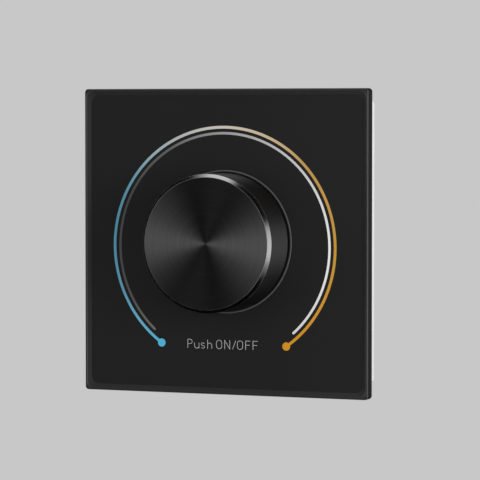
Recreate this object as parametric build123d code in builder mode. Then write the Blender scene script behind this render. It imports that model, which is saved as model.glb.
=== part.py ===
# Rotary dimmer panel: a framed black glass wall panel with a turned metal knob that turns
# without end and pushes in. A shallow pale housing behind the glass hooks onto a plate on the
# wall and holds a coin cell, a circuit board and a rotary encoder with a push switch.
#
# Millimetres. +Z is up and the front faces -Y. The wall is the plane Y = 0, and the origin
# is the middle of the wall plate's back. A height is a distance in front of the wall.

import os

from build123d import *

os.makedirs("parts", exist_ok=True)

# Frame, the glass that is let into it, and the adhesive sheet behind the glass
frame_side = 86.0
frame_corner = 1.0
frame_bevel = 0.4
frame_back_break = 0.2
frame_crest = 0.15
frame_slope = 0.9
frame_inner_corner = 3.2
frame_rise = 0.8
frame_ledge = 0.6
frame_to_housing = 0.15
glass_thickness = 2.2
glass_fit = 0.05
adhesive_thickness = 0.2
adhesive_inset = 0.5

# Ring that lines the hole in the glass
ring_wall = 0.5
ring_proud = 0.1
ring_break = 0.12
ring_to_knob = 0.35
ring_to_glass = 0.1
ring_to_turret = 0.1

# Knob: a turned metal cap, a moulded core and a spring leaf on the shaft's flat
knob_radius = 19.34
knob_height = 13.1
knob_bevel = 1.1
knob_foot_break = 0.3
knob_top = 2.4
knob_wall = 1.8
knob_travel = 0.5
knob_to_glass = 0.1
core_fit = 0.05
core_plate = 1.6
core_hub_radius = 6.0
core_rib_count = 6
core_rib_thickness = 1.4
core_rib_height = 3.5
core_gap = 0.4
clip_thickness = 0.3
clip_width = 3.6
clip_fit = 0.02
clip_end_gap = 0.8

# Rear housing and front cover
housing_side = 79.2
housing_corner = 1.2
housing_inner_corner = 0.6
housing_wall = 1.6
housing_rim_break = 0.4
floor_thickness = 1.4
cover_thickness = 1.6
cover_fit = 0.2
cover_skirt_depth = 2.0
cover_skirt_wall = 1.2
turret_thickness = 1.2
turret_wall = 1.6
turret_drop = 1.2

# Four screws from behind, each in a pocketed pillar of the housing and a boss of the cover
screw_spacing = 62.0
screw_radius = 1.0
screw_length = 6.0
screw_head_radius = 2.0
screw_head_height = 1.4
screw_recess_length = 2.4
screw_recess_width = 0.5
screw_recess_depth = 0.6
screw_fit = 0.02
screw_clearance = 0.3
screw_tip_gap = 0.5
pillar_height = 1.8
pillar_web = 1.4
pillar_wall = 1.6
boss_wall = 1.5

# Plate on the wall, with slots at the usual spacing of a wall box's screws
plate_thickness = 1.6
plate_gap = 0.2
plate_edge_gap = 0.5
wall_screw_spacing = 60.3
wall_slot_radius = 2.1
wall_slot_length = 7.0
wall_seat_radius = 3.8
wall_seat_depth = 0.8
blister_height = 1.0
blister_roof = 0.8
blister_wall = 0.8
blister_clearance = 0.4
hook_spacing = 36.0
hook_width = 8.0
hook_height = 27.0
hook_stem = 1.4
hook_reach = 1.4
hook_lip = 0.7
hook_gap = 0.1
hook_side_gap = 0.3
tongue_spacing = 44.0
tongue_width = 8.0
tongue_length = 9.0
tongue_slit = 1.0
barb_start = 0.5
barb_height = 0.9
barb_reach = 1.1
barb_gap = 0.2
pry_width = 12.0
pry_height = 1.2

# Circuit board and what is soldered to it
board_thickness = 1.0
board_standoff = 1.1
board_edge_gap = 2.2
board_hole_gap = 0.3
post_spacing_x = 63.0
post_spacing_z = 36.0
post_radius = 1.8
module_place = (-20.0, 23.0)
module_width = 16.0
module_depth = 12.0
module_base = 0.8
module_can_inset = 1.2
module_can_height = 1.8
chip_place = (19.0, 23.0)
chip_length = 10.0
chip_width = 4.0
chip_height = 1.5
chip_leg_pairs = 8
chip_leg_pitch = 1.2
chip_leg_width = 0.45
chip_leg_reach = 1.0
chip_leg_thickness = 0.25
capacitor_place = (25.0, -10.0)
capacitor_pitch = 4.0
capacitor_columns = 2
capacitor_rows = 3
capacitor_length = 2.0
capacitor_width = 1.25
capacitor_height = 1.0

# Rotary encoder with a push switch under its shaft
encoder_width = 11.4
encoder_depth = 11.8
base_height = 5.0
base_floor = 0.7
base_cavity_gap = 0.3
flange_thickness = 1.2
barrel_radius = 3.5
barrel_spare = 0.6
barrel_fit = 0.1
clamp_thickness = 0.3
clamp_width = 9.0
clamp_tab_width = 2.4
clamp_tab_end = 0.6
pin_width = 0.8
pin_thickness = 0.3
pin_pitch = 2.5
pin_rise = 1.6
pin_end = 0.7
shaft_radius = 3.0
shaft_flat = 1.5
shaft_fit = 0.03
shaft_tip_break = 0.4
shaft_tip_gap = 0.6
collar_radius = 3.6
collar_height = 0.7
rotor_radius = 4.7
rotor_thickness = 1.1
rotor_rim_wall = 0.8
rotor_rim_height = 0.7
rotor_notch_count = 20
rotor_notch_width = 0.5
rotor_notch_depth = 0.2
rotor_fit = 0.05
rotor_gap = 0.1
detent_thickness = 0.2
detent_bump_height = 0.25
detent_bump_radius = 0.3
plunger_side = 6.4
plunger_height = 1.1
plunger_fit = 0.1
dome_radius = 2.4
dome_height = 0.7
dome_thickness = 0.15
washer_radius = 6.0
washer_thickness = 0.5
nut_across_flats = 10.0
nut_thickness = 2.0
nut_break = 0.3

# Coin cell, its holder and contacts, and the door that turns to open
cell_radius = 10.0
cell_thickness = 3.2
cell_edge = 0.4
holder_gap = 0.4
holder_wall = 1.2
holder_flange = 1.5
holder_flange_thickness = 1.0
holder_roof = 1.0
holder_to_door = 0.1
battery_gap = 0.5
contact_thickness = 0.25
contact_room = 0.6
contact_width = 3.0
contact_length = 14.0
side_clip_angle = 50.0
side_clip_height = 1.2
side_clip_foot_width = 4.0
side_clip_foot_length = 5.0
side_clip_gap = 0.05
door_rim_gap = 0.5
door_rim_wall = 1.2
door_fit = 0.2
door_flange_cover = 0.5
door_flange_thickness = 0.6
door_face_gap = 0.05
door_to_cell = 0.1
lug_count = 3
lug_reach = 1.3
lug_width = 6.0
lug_gap = 0.1
lug_thickness = 0.7
lug_notch_gap = 0.3
door_turn = 45.0
coin_slot_length = 16.0
coin_slot_width = 2.0
coin_slot_depth = 0.6
window_gap = 0.6

# Heights of the stack, from the wall to the knob's face
floor_bottom = plate_thickness + plate_gap
floor_top = floor_bottom + floor_thickness
board_back = floor_top + board_standoff
board_front = board_back + board_thickness
base_top = board_front + base_height
flange_top = base_top + flange_thickness
clamp_top = flange_top + clamp_thickness
turret_underside = clamp_top
turret_top = turret_underside + turret_thickness
glass_front = turret_top + turret_drop
glass_back = glass_front - glass_thickness
frame_front = glass_front + frame_rise
frame_back = glass_back - frame_ledge
cover_top = glass_back - adhesive_thickness
cover_underside = cover_top - cover_thickness
knob_base = glass_front + knob_to_glass + knob_travel
knob_face = frame_front + knob_height
knob_ceiling = knob_face - knob_top
barrel_top = turret_top + washer_thickness + nut_thickness + barrel_spare
core_bottom = barrel_top + knob_travel + core_gap
shaft_tip = knob_ceiling - shaft_tip_gap

# Radii around the knob's axis, each a clearance from the one inside it
ring_inner = knob_radius + ring_to_knob
ring_outer = ring_inner + ring_wall
ring_top = glass_front + ring_proud
glass_hole = ring_outer + ring_to_glass
turret_radius = ring_inner - ring_to_turret
knob_inner = knob_radius - knob_wall

# Sides of the square pieces: the frame's opening and the pocket under it for the glass, and
# what sits inside the housing
opening_side = frame_side - 2 * (frame_bevel + frame_crest)
pocket_side = opening_side - 2 * frame_slope
pocket_corner = frame_inner_corner - frame_slope
glass_side = pocket_side - 2 * glass_fit
housing_inner = housing_side - 2 * housing_wall
cover_side = housing_inner - 2 * cover_fit
plate_side = housing_inner - 2 * plate_edge_gap
board_side = housing_inner - 2 * board_edge_gap

# Screw seats
pillar_top = floor_top + pillar_height
pillar_seat = pillar_top - pillar_web
pocket_radius = screw_head_radius + screw_clearance
pillar_radius = pocket_radius + pillar_wall
boss_radius = screw_radius + boss_wall

# Battery radii and heights: the holder stands round the cell, and the door's rim under it
holder_inner = cell_radius + holder_gap
holder_outer = holder_inner + holder_wall
holder_rim = holder_outer + holder_flange
door_rim_inner = cell_radius + door_rim_gap
door_plug = door_rim_inner + door_rim_wall
lug_radius = door_plug + lug_reach
door_flange = lug_radius + lug_notch_gap + door_flange_cover
window_radius = door_flange + door_fit + window_gap
lug_bottom = floor_top + lug_gap
lug_top = lug_bottom + lug_thickness
cell_bottom = lug_bottom + door_to_cell
cell_top = cell_bottom + cell_thickness
holder_bottom = lug_top + holder_to_door
holder_ceiling = cell_top + contact_room
battery_height = -(encoder_depth / 2 + pin_thickness + battery_gap + holder_rim)

# Heights inside the encoder, from its floor up to the flange of the bushing
dome_foot = board_front + base_floor
dome_top = dome_foot + dome_height
plunger_top = dome_top + plunger_height
shaft_foot = plunger_top
rotor_bottom = plunger_top + rotor_gap
rotor_top = rotor_bottom + rotor_thickness
collar_top = base_top
collar_bottom = collar_top - collar_height
rotor_rim_top = rotor_top + rotor_rim_height
detent_bottom = base_top - detent_thickness

# Sketch planes: the wall as seen from the front, and a half section through the knob's
# axis with the radius across and the height above the wall upwards
wall = Plane.XZ
section = Plane(origin=(0, 0, 0), x_dir=(1, 0, 0), z_dir=(0, 0, -1))


def upright_section(x):
    """Plane across the panel at x, with the height above the wall across and Z upwards."""
    return Plane(origin=(x, 0, 0), x_dir=(0, -1, 0), z_dir=(-1, 0, 0))


def battery_plane(height):
    """Plane parallel to the wall at a height, centred on the coin cell."""
    return Plane(origin=(0, -height, battery_height), x_dir=(1, 0, 0), z_dir=(0, -1, 0))


# Frame: a bevelled rim that stands proud of the glass, with a sloped inside and a ledge
# behind the glass that reaches in to the housing
with BuildPart() as glass_frame:
    with BuildSketch(wall.offset(frame_back)):
        RectangleRounded(frame_side, frame_side, frame_corner)
    extrude(amount=frame_front - frame_back)
    chamfer(glass_frame.faces().sort_by(Axis.Y)[0].edges(), length=frame_bevel)
    chamfer(glass_frame.faces().sort_by(Axis.Y)[-1].edges(), length=frame_back_break)
    with BuildSketch(wall.offset(glass_front)):
        RectangleRounded(pocket_side, pocket_side, pocket_corner)
    with BuildSketch(wall.offset(frame_front)):
        RectangleRounded(opening_side, opening_side, frame_inner_corner)
    loft(mode=Mode.SUBTRACT)
    with BuildSketch(wall.offset(glass_back)):
        RectangleRounded(pocket_side, pocket_side, pocket_corner)
    extrude(amount=glass_thickness, mode=Mode.SUBTRACT)
    with BuildSketch(wall.offset(frame_back)):
        ledge_opening = housing_side + 2 * frame_to_housing
        RectangleRounded(ledge_opening, ledge_opening, housing_corner + frame_to_housing)
    extrude(amount=frame_ledge, mode=Mode.SUBTRACT)
glass_frame.part.label = "glass_frame"
export_step(glass_frame.part, "parts/glass_frame.step")

# Glass: a flat plate with a round hole for the knob
with BuildPart() as glass_panel:
    with BuildSketch(wall.offset(glass_back)):
        RectangleRounded(glass_side, glass_side, pocket_corner - glass_fit)
        Circle(glass_hole, mode=Mode.SUBTRACT)
    extrude(amount=glass_thickness)
glass_panel.part.label = "glass_panel"
export_step(glass_panel.part, "parts/glass_panel.step")

# Adhesive sheet between the glass and the front of the housing and cover
with BuildPart() as glass_adhesive:
    with BuildSketch(wall.offset(cover_top)):
        adhesive_side = housing_side - 2 * adhesive_inset
        RectangleRounded(adhesive_side, adhesive_side, housing_corner - adhesive_inset)
        Circle(glass_hole, mode=Mode.SUBTRACT)
    extrude(amount=adhesive_thickness)
glass_adhesive.part.label = "glass_adhesive"
export_step(glass_adhesive.part, "parts/glass_adhesive.step")

# Ring: turned, stands on the front cover round its turret and lines the glass
with BuildPart() as hole_ring:
    with BuildSketch(section):
        with BuildLine():
            Polyline(
                (ring_inner, cover_top),
                (ring_outer, cover_top),
                (ring_outer, ring_top - ring_break),
                (ring_outer - ring_break, ring_top),
                (ring_inner + ring_break, ring_top),
                (ring_inner, ring_top - ring_break),
                close=True,
            )
        make_face()
    revolve(axis=Axis.Y)
hole_ring.part.label = "hole_ring"
export_step(hole_ring.part, "parts/hole_ring.step")

# Front cover: a plate with a skirt, a turret that closes the hole in the glass, screw
# bosses in the corners and posts that press the board onto the housing's posts
with BuildPart() as front_cover:
    with BuildSketch(wall.offset(cover_underside)):
        RectangleRounded(cover_side, cover_side, housing_inner_corner)
    extrude(amount=cover_thickness)
    with BuildSketch(wall.offset(cover_underside)):
        RectangleRounded(cover_side, cover_side, housing_inner_corner)
        skirt_inner = cover_side - 2 * cover_skirt_wall
        Rectangle(skirt_inner, skirt_inner, mode=Mode.SUBTRACT)
    extrude(amount=-cover_skirt_depth)
    with BuildSketch(wall.offset(cover_underside)):
        Circle(turret_radius)
    extrude(amount=turret_top - cover_underside)
    with BuildSketch(wall.offset(cover_underside)):
        Circle(turret_radius - turret_wall)
    extrude(amount=turret_underside - cover_underside, mode=Mode.SUBTRACT)
    with BuildSketch(wall.offset(turret_underside)):
        Circle(barrel_radius + barrel_fit)
    extrude(amount=turret_thickness, mode=Mode.SUBTRACT)
    with BuildSketch(wall.offset(pillar_top)):
        with GridLocations(screw_spacing, screw_spacing, 2, 2):
            Circle(boss_radius)
    extrude(amount=cover_underside - pillar_top)
    with BuildSketch(wall.offset(pillar_top)):
        with GridLocations(screw_spacing, screw_spacing, 2, 2):
            Circle(screw_radius + screw_fit)
    extrude(amount=screw_length - pillar_web + screw_tip_gap, mode=Mode.SUBTRACT)
    with BuildSketch(wall.offset(board_front)):
        with GridLocations(post_spacing_x, post_spacing_z, 2, 2):
            Circle(post_radius)
    extrude(amount=cover_underside - board_front)
front_cover.part.label = "front_cover"
export_step(front_cover.part, "parts/front_cover.step")

# Rear housing: a square tray with a floor between the board and the wall plate
with BuildPart() as rear_housing:
    with BuildSketch(wall):
        RectangleRounded(housing_side, housing_side, housing_corner)
    extrude(amount=cover_top)
    rim_face = rear_housing.faces().sort_by(Axis.Y)[-1]
    chamfer(rim_face.edges(), length=housing_rim_break)
    with BuildSketch(wall.offset(floor_top)):
        RectangleRounded(housing_inner, housing_inner, housing_inner_corner)
    extrude(amount=cover_top - floor_top, mode=Mode.SUBTRACT)
    with BuildSketch(wall):
        RectangleRounded(housing_inner, housing_inner, housing_inner_corner)
    extrude(amount=floor_bottom, mode=Mode.SUBTRACT)
    # pillars with head pockets from behind
    with BuildSketch(wall.offset(floor_top)):
        with GridLocations(screw_spacing, screw_spacing, 2, 2):
            Circle(pillar_radius)
    extrude(amount=pillar_height)
    with BuildSketch(wall.offset(floor_bottom)):
        with GridLocations(screw_spacing, screw_spacing, 2, 2):
            Circle(pocket_radius)
    extrude(amount=pillar_seat - floor_bottom, mode=Mode.SUBTRACT)
    with BuildSketch(wall.offset(pillar_seat)):
        with GridLocations(screw_spacing, screw_spacing, 2, 2):
            Circle(screw_radius + screw_clearance)
    extrude(amount=pillar_web, mode=Mode.SUBTRACT)
    # posts under the board
    with BuildSketch(wall.offset(floor_top)):
        with GridLocations(post_spacing_x, post_spacing_z, 2, 2):
            Circle(post_radius)
    extrude(amount=board_standoff)
    # blisters that leave room for the heads of the wall screws
    blister_inside = wall_seat_radius + blister_clearance
    blister_length = wall_slot_length + 2 * (blister_inside - wall_slot_radius)
    with BuildSketch(wall.offset(floor_top)):
        with GridLocations(wall_screw_spacing, 1, 2, 1):
            SlotOverall(blister_length + 2 * blister_wall, 2 * (blister_inside + blister_wall))
    extrude(amount=blister_height)
    with BuildSketch(wall.offset(floor_bottom)):
        with GridLocations(wall_screw_spacing, 1, 2, 1):
            SlotOverall(blister_length, 2 * blister_inside)
    extrude(amount=floor_thickness + blister_height - blister_roof, mode=Mode.SUBTRACT)
    # battery opening: a seat for the door's flange and notches that let its lugs through
    with BuildSketch(battery_plane(floor_bottom)):
        Circle(door_flange + door_fit)
    extrude(amount=door_flange_thickness + door_face_gap, mode=Mode.SUBTRACT)
    with BuildSketch(battery_plane(floor_bottom)):
        with PolarLocations(door_plug, lug_count, start_angle=90 - door_turn):
            Rectangle(2 * (lug_reach + lug_notch_gap), lug_width + 2 * lug_notch_gap)
        Circle(lug_radius + lug_notch_gap, mode=Mode.INTERSECT)
        Circle(door_plug + door_fit)
    extrude(amount=floor_thickness, mode=Mode.SUBTRACT)
    # slots for the hooks and notches for the snap barbs of the wall plate
    slot_low = hook_height - hook_reach - hook_side_gap
    slot_high = hook_height + hook_stem + hook_gap
    with BuildSketch(Plane(origin=(0, -floor_bottom, slot_low), x_dir=(1, 0, 0), z_dir=(0, -1, 0))):
        with GridLocations(hook_spacing, 1, 2, 1):
            Rectangle(
                hook_width + 2 * hook_side_gap, slot_high - slot_low, align=(Align.CENTER, Align.MIN)
            )
    extrude(amount=floor_thickness, mode=Mode.SUBTRACT)
    barb_depth = barb_reach - plate_edge_gap + barb_gap
    with BuildSketch(wall.offset(barb_start - barb_gap)):
        with Locations((0, -housing_inner / 2)):
            with GridLocations(tongue_spacing, 1, 2, 1):
                Rectangle(
                    tongue_width + 2 * barb_gap, barb_depth, align=(Align.CENTER, Align.MAX)
                )
    extrude(amount=barb_height + 2 * barb_gap, mode=Mode.SUBTRACT)
    # notch in the lower edge for a flat screwdriver
    with BuildSketch(wall):
        with Locations((0, -housing_side / 2)):
            Rectangle(pry_width, 2 * housing_wall)
    extrude(amount=pry_height, mode=Mode.SUBTRACT)
rear_housing.part.label = "rear_housing"
export_step(rear_housing.part, "parts/rear_housing.step")

# Wall plate: slots for two screws, a window over the battery door, hooks and snap tongues
with BuildPart() as wall_plate:
    with BuildSketch(wall):
        RectangleRounded(plate_side, plate_side, housing_inner_corner)
        with Locations((0, battery_height)):
            Circle(window_radius, mode=Mode.SUBTRACT)
        with GridLocations(wall_screw_spacing, 1, 2, 1):
            SlotOverall(wall_slot_length, 2 * wall_slot_radius, mode=Mode.SUBTRACT)
        with Locations((0, -plate_side / 2)):
            with GridLocations(tongue_spacing, 1, 2, 1):
                with GridLocations(tongue_width + tongue_slit, 1, 2, 1):
                    Rectangle(tongue_slit, 2 * tongue_length, mode=Mode.SUBTRACT)
    extrude(amount=plate_thickness)
    with BuildSketch(wall.offset(plate_thickness)):
        with GridLocations(wall_screw_spacing, 1, 2, 1):
            seat_length = wall_slot_length + 2 * (wall_seat_radius - wall_slot_radius)
            SlotOverall(seat_length, 2 * wall_seat_radius)
    extrude(amount=-wall_seat_depth, mode=Mode.SUBTRACT)
    for side in (-1, 1):
        with BuildSketch(upright_section(side * hook_spacing / 2)):
            with BuildLine():
                Polyline(
                    (plate_thickness, hook_height),
                    (floor_top + hook_gap + hook_lip, hook_height),
                    (floor_top + hook_gap + hook_lip, hook_height + hook_stem + hook_reach),
                    (floor_top + hook_gap, hook_height + hook_stem + hook_reach),
                    (floor_top + hook_gap, hook_height + hook_stem),
                    (plate_thickness, hook_height + hook_stem),
                    close=True,
                )
            make_face()
        extrude(amount=hook_width / 2, both=True)
        with BuildSketch(upright_section(side * tongue_spacing / 2)):
            with BuildLine():
                Polyline(
                    (barb_start, -plate_side / 2),
                    (barb_start + barb_height, -plate_side / 2),
                    (barb_start, -plate_side / 2 - barb_reach),
                    close=True,
                )
            make_face()
        extrude(amount=tongue_width / 2, both=True)
wall_plate.part.label = "wall_plate"
export_step(wall_plate.part, "parts/wall_plate.step")

# Case screws: pan heads in the pillars' pockets, with a cross recess
with BuildPart() as case_screws:
    with BuildSketch(wall.offset(pillar_seat)):
        with GridLocations(screw_spacing, screw_spacing, 2, 2):
            Circle(screw_head_radius)
    extrude(amount=-screw_head_height)
    with BuildSketch(wall.offset(pillar_seat)):
        with GridLocations(screw_spacing, screw_spacing, 2, 2):
            Circle(screw_radius)
    extrude(amount=screw_length)
    with BuildSketch(wall.offset(pillar_seat - screw_head_height)):
        with GridLocations(screw_spacing, screw_spacing, 2, 2):
            Rectangle(screw_recess_length, screw_recess_width)
            Rectangle(screw_recess_width, screw_recess_length)
    extrude(amount=screw_recess_depth, mode=Mode.SUBTRACT)
case_screws.part.label = "case_screws"
export_step(case_screws.part, "parts/case_screws.step")

# Circuit board, cut away for the pillars, the battery and the encoder's pins and tabs
with BuildPart() as circuit_board:
    with BuildSketch(wall.offset(board_back)):
        Rectangle(board_side, board_side)
        corner_notch = (board_side - screw_spacing) / 2 + pillar_radius + board_hole_gap
        with GridLocations(board_side, board_side, 2, 2):
            Rectangle(2 * corner_notch, 2 * corner_notch, mode=Mode.SUBTRACT)
        with Locations((0, battery_height)):
            Circle(holder_outer + board_hole_gap, mode=Mode.SUBTRACT)
        tab_hole = clamp_thickness + 2 * board_hole_gap
        with GridLocations(encoder_width + clamp_thickness, 1, 2, 1):
            Rectangle(tab_hole, clamp_tab_width + 2 * board_hole_gap, mode=Mode.SUBTRACT)
        pin_row = (encoder_depth + pin_thickness) / 2
        with Locations((0, -pin_row)):
            with GridLocations(pin_pitch, 1, 3, 1):
                Rectangle(
                    pin_width + 2 * board_hole_gap,
                    pin_thickness + 2 * board_hole_gap,
                    mode=Mode.SUBTRACT,
                )
        with Locations((0, pin_row)):
            with GridLocations(2 * pin_pitch, 1, 2, 1):
                Rectangle(
                    pin_width + 2 * board_hole_gap,
                    pin_thickness + 2 * board_hole_gap,
                    mode=Mode.SUBTRACT,
                )
    extrude(amount=board_thickness)
circuit_board.part.label = "circuit_board"
export_step(circuit_board.part, "parts/circuit_board.step")

# Radio module: a small board with a shield can on it
with BuildPart() as radio_module:
    with BuildSketch(wall.offset(board_front)):
        with Locations(module_place):
            Rectangle(module_width, module_depth)
    extrude(amount=module_base)
    with BuildSketch(wall.offset(board_front + module_base)):
        with Locations(module_place):
            Rectangle(module_width - 2 * module_can_inset, module_depth - 2 * module_can_inset)
    extrude(amount=module_can_height)
radio_module.part.label = "radio_module"
export_step(radio_module.part, "parts/radio_module.step")

# Controller chip: a flat body on two rows of legs
with BuildPart() as controller_chip:
    with BuildSketch(wall.offset(board_front)):
        with Locations(chip_place):
            Rectangle(chip_length, chip_width)
    extrude(amount=chip_height)
    with BuildSketch(wall.offset(board_front)):
        with Locations(chip_place):
            with GridLocations(chip_leg_pitch, chip_width + chip_leg_reach, chip_leg_pairs, 2):
                Rectangle(chip_leg_width, chip_leg_reach)
    extrude(amount=chip_leg_thickness)
controller_chip.part.label = "controller_chip"
export_step(controller_chip.part, "parts/controller_chip.step")

# Capacitors: a small field of like chips
with BuildPart() as board_capacitors:
    with BuildSketch(wall.offset(board_front)):
        with Locations(capacitor_place):
            with GridLocations(
                capacitor_pitch, capacitor_pitch, capacitor_columns, capacitor_rows
            ):
                Rectangle(capacitor_length, capacitor_width)
    extrude(amount=capacitor_height)
board_capacitors.part.label = "board_capacitors"
export_step(board_capacitors.part, "parts/board_capacitors.step")

# Encoder base: a moulded box, square below for the plunger and round above for the rotor
with BuildPart() as encoder_base:
    with BuildSketch(wall.offset(board_front)):
        Rectangle(encoder_width, encoder_depth)
    extrude(amount=base_height)
    with BuildSketch(wall.offset(dome_foot)):
        plunger_room = plunger_side + 2 * plunger_fit
        Rectangle(plunger_room, plunger_room)
    extrude(amount=base_top - dome_foot, mode=Mode.SUBTRACT)
    with BuildSketch(wall.offset(rotor_bottom)):
        Circle(rotor_radius + base_cavity_gap)
    extrude(amount=base_top - rotor_bottom, mode=Mode.SUBTRACT)
encoder_base.part.label = "encoder_base"
export_step(encoder_base.part, "parts/encoder_base.step")

# Encoder bushing: a cast flange with a barrel that passes through the turret
with BuildPart() as encoder_bushing:
    with BuildSketch(wall.offset(base_top)):
        Rectangle(encoder_width, encoder_depth)
    extrude(amount=flange_thickness)
    with BuildSketch(wall.offset(flange_top)):
        Circle(barrel_radius)
    extrude(amount=barrel_top - flange_top)
    with BuildSketch(wall.offset(base_top)):
        Circle(shaft_radius + shaft_fit)
    extrude(amount=barrel_top - base_top, mode=Mode.SUBTRACT)
encoder_bushing.part.label = "encoder_bushing"
export_step(encoder_bushing.part, "parts/encoder_bushing.step")

# Encoder clamp: a folded steel strap over the flange, with tabs through the board
with BuildPart() as encoder_clamp:
    with BuildSketch(wall.offset(flange_top)):
        Rectangle(encoder_width + 2 * clamp_thickness, clamp_width)
        Circle(barrel_radius + barrel_fit, mode=Mode.SUBTRACT)
    extrude(amount=clamp_thickness)
    with BuildSketch(wall.offset(board_front)):
        with GridLocations(encoder_width + clamp_thickness, 1, 2, 1):
            Rectangle(clamp_thickness, clamp_width)
    extrude(amount=flange_top - board_front)
    with BuildSketch(wall.offset(board_front)):
        with GridLocations(encoder_width + clamp_thickness, 1, 2, 1):
            Rectangle(clamp_thickness, clamp_tab_width)
    extrude(amount=-(board_thickness + clamp_tab_end))
encoder_clamp.part.label = "encoder_clamp"
export_step(encoder_clamp.part, "parts/encoder_clamp.step")

# Encoder pins: three signal pins below and two switch pins above
with BuildPart() as encoder_pins:
    with BuildSketch(wall.offset(board_back - pin_end)):
        with Locations((0, -pin_row)):
            with GridLocations(pin_pitch, 1, 3, 1):
                Rectangle(pin_width, pin_thickness)
        with Locations((0, pin_row)):
            with GridLocations(2 * pin_pitch, 1, 2, 1):
                Rectangle(pin_width, pin_thickness)
    extrude(amount=pin_end + board_thickness + pin_rise)
encoder_pins.part.label = "encoder_pins"
export_step(encoder_pins.part, "parts/encoder_pins.step")

# Switch dome: a thin sprung cap on the base's floor
with BuildPart() as switch_dome:
    dome_sphere = (dome_radius**2 + dome_height**2) / (2 * dome_height)
    with BuildSketch(section):
        with Locations((0, dome_top - dome_sphere)):
            Circle(dome_sphere)
            Circle(dome_sphere - dome_thickness, mode=Mode.SUBTRACT)
        with Locations((dome_radius / 2, (dome_foot + dome_top) / 2)):
            Rectangle(dome_radius, dome_height, mode=Mode.INTERSECT)
    revolve(axis=Axis.Y)
switch_dome.part.label = "switch_dome"
export_step(switch_dome.part, "parts/switch_dome.step")

# Switch plunger: a square slider between the dome and the shaft, which can't turn
with BuildPart() as switch_plunger:
    with BuildSketch(wall.offset(dome_top)):
        Rectangle(plunger_side, plunger_side)
    extrude(amount=plunger_height)
switch_plunger.part.label = "switch_plunger"
export_step(switch_plunger.part, "parts/switch_plunger.step")

# Encoder rotor: a cup that the shaft turns and slides in, with detent notches on its rim
with BuildPart() as encoder_rotor:
    with BuildSketch(wall.offset(rotor_bottom)):
        Circle(rotor_radius)
    extrude(amount=rotor_rim_top - rotor_bottom)
    with BuildSketch(wall.offset(rotor_top)):
        Circle(rotor_radius - rotor_rim_wall)
    extrude(amount=rotor_rim_height, mode=Mode.SUBTRACT)
    with BuildSketch(wall.offset(rotor_bottom)):
        Circle(shaft_radius + rotor_fit)
        with Locations((shaft_flat + rotor_fit, 0)):
            Rectangle(
                2 * shaft_radius,
                2 * (shaft_radius + rotor_fit),
                align=(Align.MIN, Align.CENTER),
                mode=Mode.SUBTRACT,
            )
    extrude(amount=rotor_thickness, mode=Mode.SUBTRACT)
    with BuildSketch(wall.offset(rotor_rim_top)):
        with PolarLocations(rotor_radius - rotor_rim_wall / 2, rotor_notch_count):
            Rectangle(2 * rotor_rim_wall, rotor_notch_width)
    extrude(amount=-rotor_notch_depth, mode=Mode.SUBTRACT)
encoder_rotor.part.label = "encoder_rotor"
export_step(encoder_rotor.part, "parts/encoder_rotor.step")

# Detent spring: a flat ring under the flange with two bumps over the rotor's notches
with BuildPart() as detent_spring:
    with BuildSketch(wall.offset(detent_bottom)):
        Circle(rotor_radius)
        Circle(rotor_radius - rotor_rim_wall, mode=Mode.SUBTRACT)
    extrude(amount=detent_thickness)
    with BuildSketch(wall.offset(detent_bottom)):
        with PolarLocations(rotor_radius - rotor_rim_wall / 2, 2):
            Circle(detent_bump_radius)
    extrude(amount=-detent_bump_height)
detent_spring.part.label = "detent_spring"
export_step(detent_spring.part, "parts/detent_spring.step")

# Encoder shaft: a collar under the bushing, a flat for the rotor and a flat for the knob
with BuildPart() as encoder_shaft:
    with BuildSketch(section):
        with BuildLine():
            Polyline(
                (0, shaft_foot),
                (shaft_radius, shaft_foot),
                (shaft_radius, collar_bottom),
                (collar_radius, collar_bottom),
                (collar_radius, collar_top),
                (shaft_radius, collar_top),
                (shaft_radius, shaft_tip - shaft_tip_break),
                (shaft_radius - shaft_tip_break, shaft_tip),
                (0, shaft_tip),
                close=True,
            )
        make_face()
    revolve(axis=Axis.Y)
    for flat_start, flat_end in ((shaft_foot, collar_bottom), (core_bottom - core_gap, shaft_tip)):
        with BuildSketch(wall.offset(flat_start)):
            with Locations((shaft_flat, 0)):
                Rectangle(2 * shaft_radius, 2 * shaft_radius, align=(Align.MIN, Align.CENTER))
        extrude(amount=flat_end - flat_start, mode=Mode.SUBTRACT)
encoder_shaft.part.label = "encoder_shaft"
export_step(encoder_shaft.part, "parts/encoder_shaft.step")

# Washer and nut that hold the encoder's barrel in the turret
with BuildPart() as encoder_washer:
    with BuildSketch(wall.offset(turret_top)):
        Circle(washer_radius)
        Circle(barrel_radius + barrel_fit, mode=Mode.SUBTRACT)
    extrude(amount=washer_thickness)
encoder_washer.part.label = "encoder_washer"
export_step(encoder_washer.part, "parts/encoder_washer.step")

with BuildPart() as encoder_nut:
    nut_base = turret_top + washer_thickness
    with BuildSketch(wall.offset(nut_base)):
        RegularPolygon(nut_across_flats / 2, 6, major_radius=False)
        Circle(barrel_radius + shaft_fit, mode=Mode.SUBTRACT)
    extrude(amount=nut_thickness)
    nut_face = encoder_nut.faces().sort_by(Axis.Y)[0]
    chamfer(nut_face.outer_wire().edges(), length=nut_break)
encoder_nut.part.label = "encoder_nut"
export_step(encoder_nut.part, "parts/encoder_nut.step")

# Knob cap: a turned cup with a bevel round its face
with BuildPart() as knob_cap:
    with BuildSketch(section):
        with BuildLine():
            Polyline(
                (0, knob_ceiling),
                (knob_inner, knob_ceiling),
                (knob_inner, knob_base),
                (knob_radius - knob_foot_break, knob_base),
                (knob_radius, knob_base + knob_foot_break),
                (knob_radius, knob_face - knob_bevel),
                (knob_radius - knob_bevel, knob_face),
                (0, knob_face),
                close=True,
            )
        make_face()
    revolve(axis=Axis.Y)
knob_cap.part.label = "knob_cap"
export_step(knob_cap.part, "parts/knob_cap.step")

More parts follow.
